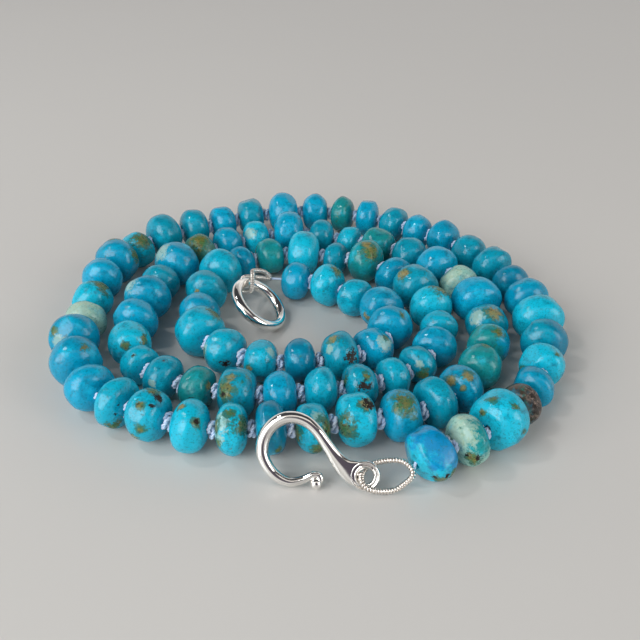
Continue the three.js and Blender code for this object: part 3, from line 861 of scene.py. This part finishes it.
def makeHook():
    # The bar is a line with an oval section: point = line + width · sin a · square to the line, and
    # height = depth · cos a.
    rows = smoothRows(hook["bar"], hook["steps"])
    line = np.column_stack([rows[:, :2], np.zeros(len(rows))])
    tangents = alongLine(line, False)
    square = np.stack([tangents[:, 1], -tangents[:, 0], np.zeros(len(rows))], -1)
    angle = fullTurn(hook["sides"])
    offset = rows[:, 2:3] * np.sin(angle)
    points = line[:, None] + offset[..., None] * square[:, None]
    points[..., 2] = rows[:, 3:4] * np.cos(angle)
    # towards its end each row bends to an arc round the eye's centre, which at last covers the eye's near
    # half: point = eye centre + distance · (cos, sin) of (heading + offset · (1 + spread) / distance)
    eyeX, eyeY = hook["eye"]
    fromEye = line[:, :2] - (eyeX, eyeY)
    distance = np.linalg.norm(fromEye, axis=1)[:, None]
    heading = np.arctan2(fromEye[:, 1], fromEye[:, 0])[:, None] % (2 * math.pi)
    share = np.clip((hook["wrapFrom"] - distance) / (hook["wrapFrom"] - hook["eyeRing"]), 0, 1)
    share = share * share * (3 - 2 * share)
    bend = heading + offset * (1 + hook["spread"] * share) / distance
    wrapped = np.stack([eyeX + distance * np.cos(bend), eyeY + distance * np.sin(bend), points[..., 2]], -1)
    bar = surface(points * (1 - share)[..., None] + wrapped * share[..., None], capped=True)
    skins = [bar, hookEye(), hookBall()]
    skins = [(fromHookFrame(vertices), quads, fans) for vertices, quads, fans in skins]
    makePiece("silver_hook", skins, silver, "silver", ["hook"])


def hookEye():
    # A ring whose round section has a groove turned into both its faces:
    # height = wire · sin a · (1 - groove · e^-((radius - ring) / groove width)²).
    section = fullTurn(hook["eyeSides"])
    radius = hook["eyeRing"] + hook["eyeWire"] * np.cos(section)
    height = hook["eyeWire"] * np.sin(section)
    height *= 1 - hook["groove"] * np.exp(-(((radius - hook["eyeRing"]) / hook["grooveWidth"]) ** 2))
    turn = fullTurn(hook["eyeAround"])[:, None]
    eyeX, eyeY = hook["eye"]
    height = np.broadcast_to(height, (len(turn), len(section)))
    return surface(np.stack([eyeX + radius * np.cos(turn), eyeY + radius * np.sin(turn), height], -1),
                   closedRows=True)


def hookBall():
    # Point = radius · (sin down · cos over, sin down · sin over, cos down).
    down = np.linspace(hook["ballPole"], math.pi - hook["ballPole"], hook["ballRows"])[:, None]
    over = fullTurn(hook["ballSides"])
    height = np.broadcast_to(np.cos(down), (len(down), len(over)))
    points = np.stack([np.sin(down) * np.cos(over), np.sin(down) * np.sin(over), height], -1)
    return surface(hook["ball"] * points, capped=True)


def makeRing():
    # Point = (radius + wire · cos a) · (cos turn, sin turn), and height = wire · sin a.
    turn = fullTurn(ring["around"])[:, None]
    section = fullTurn(ring["sides"])
    radius = ring["radius"] + ring["wire"] * np.cos(section)
    height = np.broadcast_to(ring["wire"] * np.sin(section), (len(turn), len(section)))
    points = np.stack([radius * np.cos(turn), radius * np.sin(turn), height], -1)
    vertices, quads, fans = surface(points, closedRows=True)
    makePiece("silver_ring", [(fromRingFrame(vertices), quads, fans)], silver, "silver", ["ring"])


coil = dict(outer=0.47, wire=0.225, pitch=0.42, perTurn=16, sides=8, lineSteps=400)


def makeCoil(name, rows, nodeName):
    # The wire's middle line winds round the loop's line at outer - wire from it, one turn for each pitch of
    # length: point = line + (outer - wire) · (cos w · away + sin w · beside), where away points from the
    # middle of the loop and beside is square to it and to the line.
    rough = smoothRows(rows, coil["lineSteps"], closed=True)
    walked = walkedAlong(np.vstack([rough, rough[:1]]))
    count = round(walked[-1] / coil["pitch"]) * coil["perTurn"]
    even = np.arange(count) * walked[-1] / count
    line = np.stack([np.interp(even, walked, np.append(rough[:, k], rough[0, k])) for k in range(3)], -1)
    tangents = alongLine(line, True)
    away = squareTo(tangents, line - line.mean(0))
    beside = np.cross(tangents, away)
    wind = np.arange(count) * 2 * math.pi / coil["perTurn"]
    outward = np.cos(wind)[:, None] * away + np.sin(wind)[:, None] * beside
    helix = line + (coil["outer"] - coil["wire"]) * outward
    wire = tube(helix, coil["wire"], coil["sides"], True, outward)
    makePiece(name, [wire], bullion, "bullion_wire", [nodeName])


def makeClasp():
    makeHook()
    makeRing()
    makeCoil("hook_bullion", hookLoopLine, "hook_loop")
    makeCoil("ring_bullion", ringLoopLine, "ring_loop")
    print("clasp made")


stage = dict(size=3.0, tint=colour("d3d0cb"), cloudTint=colour("cecbc7"), cloud=(6.0, 3.0), roughness=0.28,
             gloss=0.35)


def makeTable():
    half = stage["size"] / 2
    mesh = bpy.data.meshes.new("table")
    corners = [(-half, -half, 0), (half, -half, 0), (half, half, 0), (-half, half, 0)]
    mesh.from_pydata(corners, [], [(0, 1, 2, 3)])
    material, tree, shader = newMaterial("pale table", Roughness=stage["roughness"],
                                         Specular_IOR_Level=stage["gloss"])
    cloud = noise(tree, objectPlace(tree), *stage["cloud"])
    tree.links.new(mixColour(tree, cloud, stage["tint"], stage["cloudTint"]), shader.inputs["Base Color"])
    mesh.materials.append(material)
    table = bpy.data.objects.new("table", mesh)
    bpy.context.scene.collection.objects.link(table)


# area lights in metres and watts, all turned towards the middle of the table
lights = dict(
    window=dict(place=(-0.40, -0.36, 0.30), size=(0.42, 0.50), power=3.2, tint=(0.95, 0.98, 1.0)),
    secondWindow=dict(place=(0.50, -0.26, 0.24), size=(0.26, 0.40), power=1.1, tint=(1.0, 0.98, 0.96)),
    ceiling=dict(place=(0.10, 0.60, 0.48), size=(0.60, 0.40), power=0.28, tint=(1.0, 0.98, 0.96)),
    lamp=dict(place=(-0.30, 0.02, 0.46), size=(0.05, 0.05), power=0.35, tint=(1.0, 1.0, 1.0)),
    # the fill gives no reflections, and the hood adds no light to matt surfaces
    fill=dict(place=(0.10, -0.60, 0.22), size=(0.60, 0.30), power=0.85, tint=(1.0, 0.99, 0.97),
              glossy=False),
    hood=dict(place=(0.05, -0.30, 0.56), size=(0.70, 0.26), power=0.45, tint=(1.0, 0.94, 0.88),
              diffuse=False),
)
# a room that is bright round the horizon and dimmer overhead, with a dark middle on the near side
sky = dict(horizon=(0.80, 0.785, 0.765, 1.0), top=(0.05, 0.05, 0.055, 1.0), rise=(0.30, 0.72),
           dark=(0.10, 0.085, 0.11, 1.0), facing=(0.26, -0.88, 0.40), edge=(0.89, 0.965))


def makeLights():
    for name, light in lights.items():
        data = bpy.data.lights.new(name, "AREA")
        data.shape = "RECTANGLE"
        data.size, data.size_y = light["size"]
        data.energy = light["power"]
        data.color = light["tint"]
        lamp = bpy.data.objects.new(name, data)
        lamp.location = light["place"]
        lamp.visible_diffuse = light.get("diffuse", True)
        lamp.visible_glossy = light.get("glossy", True)
        lamp.rotation_euler = (-lamp.location).to_track_quat("-Z", "Y").to_euler()
        bpy.context.scene.collection.objects.link(lamp)


def makeRoom():
    world = bpy.data.worlds.new("studio")
    bpy.context.scene.world = world
    world.use_nodes = True
    tree = world.node_tree
    direction = node(tree, "ShaderNodeTexCoord").outputs["Generated"]
    height = node(tree, "ShaderNodeSeparateXYZ", {0: direction}).outputs["Z"]
    room = mixColour(tree, step(tree, height, *sky["rise"]), sky["horizon"], sky["top"])
    facing = node(tree, "ShaderNodeVectorMath", {0: direction, 1: sky["facing"]}, operation="DOT_PRODUCT")
    dark = step(tree, facing.outputs["Value"], *sky["edge"])
    tree.links.new(mixColour(tree, dark, room, sky["dark"]), tree.nodes["Background"].inputs["Color"])


placeCamera()
makeBeads()
makeThread()
makeClasp()
makeTable()
makeLights()
makeRoom()
bpy.context.scene.view_settings.view_transform = "Standard"
print("table, lights and room made")
